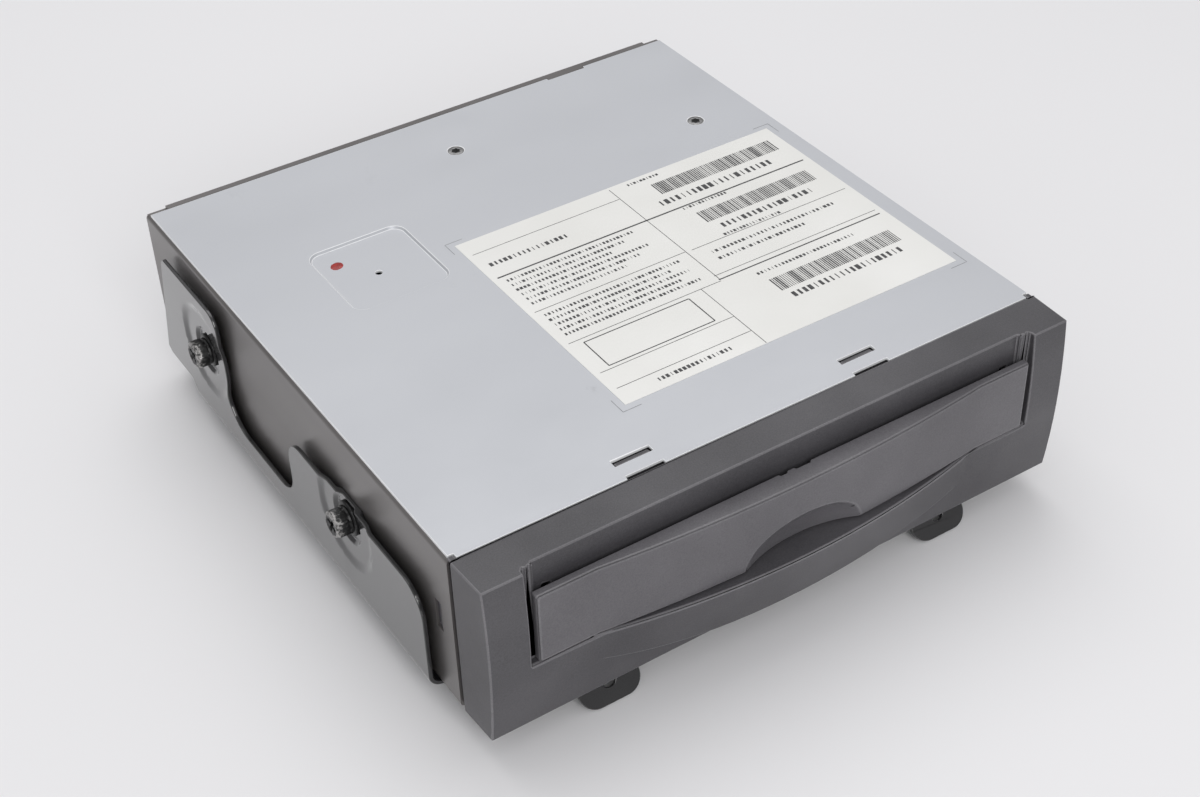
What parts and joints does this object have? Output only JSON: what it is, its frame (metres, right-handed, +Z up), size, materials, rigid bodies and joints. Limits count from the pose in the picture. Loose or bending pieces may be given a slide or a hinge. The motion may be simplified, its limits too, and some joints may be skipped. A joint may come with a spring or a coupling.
{
  "type": "car navigation disc reader",
  "caption": "Flat slot-loading disc reader in a sheet-metal case, with a curved front, a sliding door with a thumb scoop, and a steel mounting cradle with sloping tabs.",
  "frame": {"origin": "centre of the bounding box in plan, at the height of the tabs' lowest edges", "axes": "+X to the right seen from the front, +Y from the front to the rear, +Z up; the door faces -Y"},
  "size_m": [0.1914, 0.2034, 0.0582],
  "materials": {
    "case_steel": "zinc-coated sheet, dull and a little brown",
    "cover_steel": "zinc-coated sheet, satin",
    "screw_steel": "dark plated",
    "post_steel": "plain turned steel",
    "label_film": "printed film, satin",
    "bezel_plastic": "fine-textured moulding",
    "door_plastic": "fine-textured moulding",
    "button_plastic": "fine-textured moulding",
    "felt": "short pile",
    "white_plastic": "natural acetal",
    "black_plastic": "plain moulding",
    "spring_steel": "bright strip",
    "board": "fibreglass with solder mask",
    "cradle_paint": "black electrophoretic paint, semi-gloss",
    "black_screw": "black passivated, worn edges",
    "brass_part": "turned",
    "aluminium_part": "drawn can",
    "tinned_steel": "tinned",
    "black_aluminium": "black anodised extrusion",
    "connector_plastic": "glass-filled moulding",
    "pin_metal": "tin plated",
    "fibre_plastic": "plain moulding",
    "aerial_plastic": "keyed moulding",
    "frame_steel": "zinc-coated sheet",
    "damper_rubber": "soft",
    "motor_steel": "nickel-plated can",
    "shaft_steel": "ground",
    "sled_metal": "die-cast",
    "lens_plastic": "moulded, clear lens",
    "roller_rubber": "moulded",
    "ribbon_film": "flat cable"
  },
  "bodies": {
    "base": {"chassis_tray": "case_steel", "top_cover": "cover_steel", "cover_screws": "screw_steel", "cover_posts": "post_steel", "blank_label": "label_film", "front_bezel": "bezel_plastic", "slot_felts": "felt", "detent_springs": "spring_steel", "eject_switch": "black_plastic", "front_board": "board", "mounting_cradle": "cradle_paint", "cradle_screws": "black_screw", "cradle_washers": "black_screw", "cradle_nuts": "post_steel", "main_board": "board", "board_supports": "white_plastic", "board_chips": "black_plastic", "board_capacitors": "aluminium_part", "receiver_can": "tinned_steel", "heat_sink": "black_aluminium", "main_connector": "connector_plastic", "connector_pins": "pin_metal", "fibre_socket": "fibre_plastic", "aerial_socket": "aerial_plastic", "drive_frame": "frame_steel", "drive_posts": "post_steel", "drive_dampers": "damper_rubber", "drive_nuts": "post_steel", "spindle_motor": "motor_steel", "clamp_pivots": "shaft_steel", "disc_guide": "black_plastic", "guide_rods": "shaft_steel", "sled_motor": "motor_steel", "gear_axle": "shaft_steel", "load_motor": "motor_steel", "drive_ribbon": "ribbon_film"},
    "door": {"door": "door_plastic", "door_guide_clips": "white_plastic"},
    "button": {"eject_button": "button_plastic", "switch_plunger": "white_plastic"},
    "turntable": {"turntable": "black_plastic", "spindle_shaft": "shaft_steel"},
    "clamp_arm": {"clamp_arm": "frame_steel"},
    "puck": {"clamp_puck": "white_plastic"},
    "sled": {"sled": "sled_metal"},
    "lens": {"lens_holder": "lens_plastic"},
    "feed_screw": {"lead_screw": "shaft_steel"},
    "roller": {"load_roller": "roller_rubber", "roller_shaft": "shaft_steel", "roller_gear": "white_plastic"},
    "step_gear": {"step_gear": "white_plastic"},
    "pinion": {"motor_pinion": "brass_part"}
  },
  "joints": [
    {"name": "door_slide", "type": "slide", "parent": "base", "child": "door", "axis": [0, 0, 1], "range_m": [0, 0.0073]},
    {"name": "eject_press", "type": "slide", "parent": "base", "child": "button", "axis": [0, 1, 0], "range_m": [0, 0.0008], "stiffness_N_per_m": 1500, "springref_m": -0.0002},
    {"name": "turntable_spin", "type": "hinge", "parent": "base", "child": "turntable", "pos_m": [0, -0.0062, 0.03402], "axis": [0, 0, 1], "continuous": true},
    {"name": "clamp_lift", "type": "hinge", "parent": "base", "child": "clamp_arm", "pos_m": [0, 0.0538, 0.03862], "axis": [-1, 0, 0], "range_deg": [0, 6], "stiffness_Nm_per_rad": 0.5, "springref_deg": -2.86},
    {"name": "puck_spin", "type": "hinge", "parent": "clamp_arm", "child": "puck", "pos_m": [0, -0.0062, 0.03862], "axis": [0, 0, 1], "continuous": true},
    {"name": "sled_slide", "type": "slide", "parent": "base", "child": "sled", "axis": [0, 1, 0], "range_m": [0, 0.034]},
    {"name": "lead_screw_turn", "type": "hinge", "parent": "base", "child": "feed_screw", "pos_m": [0.0342, 0.0298, 0.02722], "axis": [0, 1, 0], "range_deg": [0, 4100]},
    {"name": "lens_focus", "type": "slide", "parent": "sled", "child": "lens", "axis": [0, 0, 1], "range_m": [-0.0004, 0.0004], "stiffness_N_per_m": 100},
    {"name": "roller_spin", "type": "hinge", "parent": "base", "child": "roller", "pos_m": [0, -0.0707, 0.03082], "axis": [1, 0, 0], "continuous": true},
    {"name": "step_gear_spin", "type": "hinge", "parent": "base", "child": "step_gear", "pos_m": [0.065, -0.0637, 0.02516], "axis": [1, 0, 0], "continuous": true},
    {"name": "pinion_spin", "type": "hinge", "parent": "base", "child": "pinion", "pos_m": [0.065, -0.0562, 0.01855], "axis": [1, 0, 0], "continuous": true}
  ],
  "couplings": [
    {"joint": "puck_spin", "follows": "turntable_spin", "ratio": 1},
    {"joint": "lead_screw_turn", "follows": "sled_slide", "rad_per_m": 2094.4},
    {"joint": "step_gear_spin", "follows": "roller_spin", "ratio": -2},
    {"joint": "pinion_spin", "follows": "roller_spin", "ratio": 6}
  ]
}
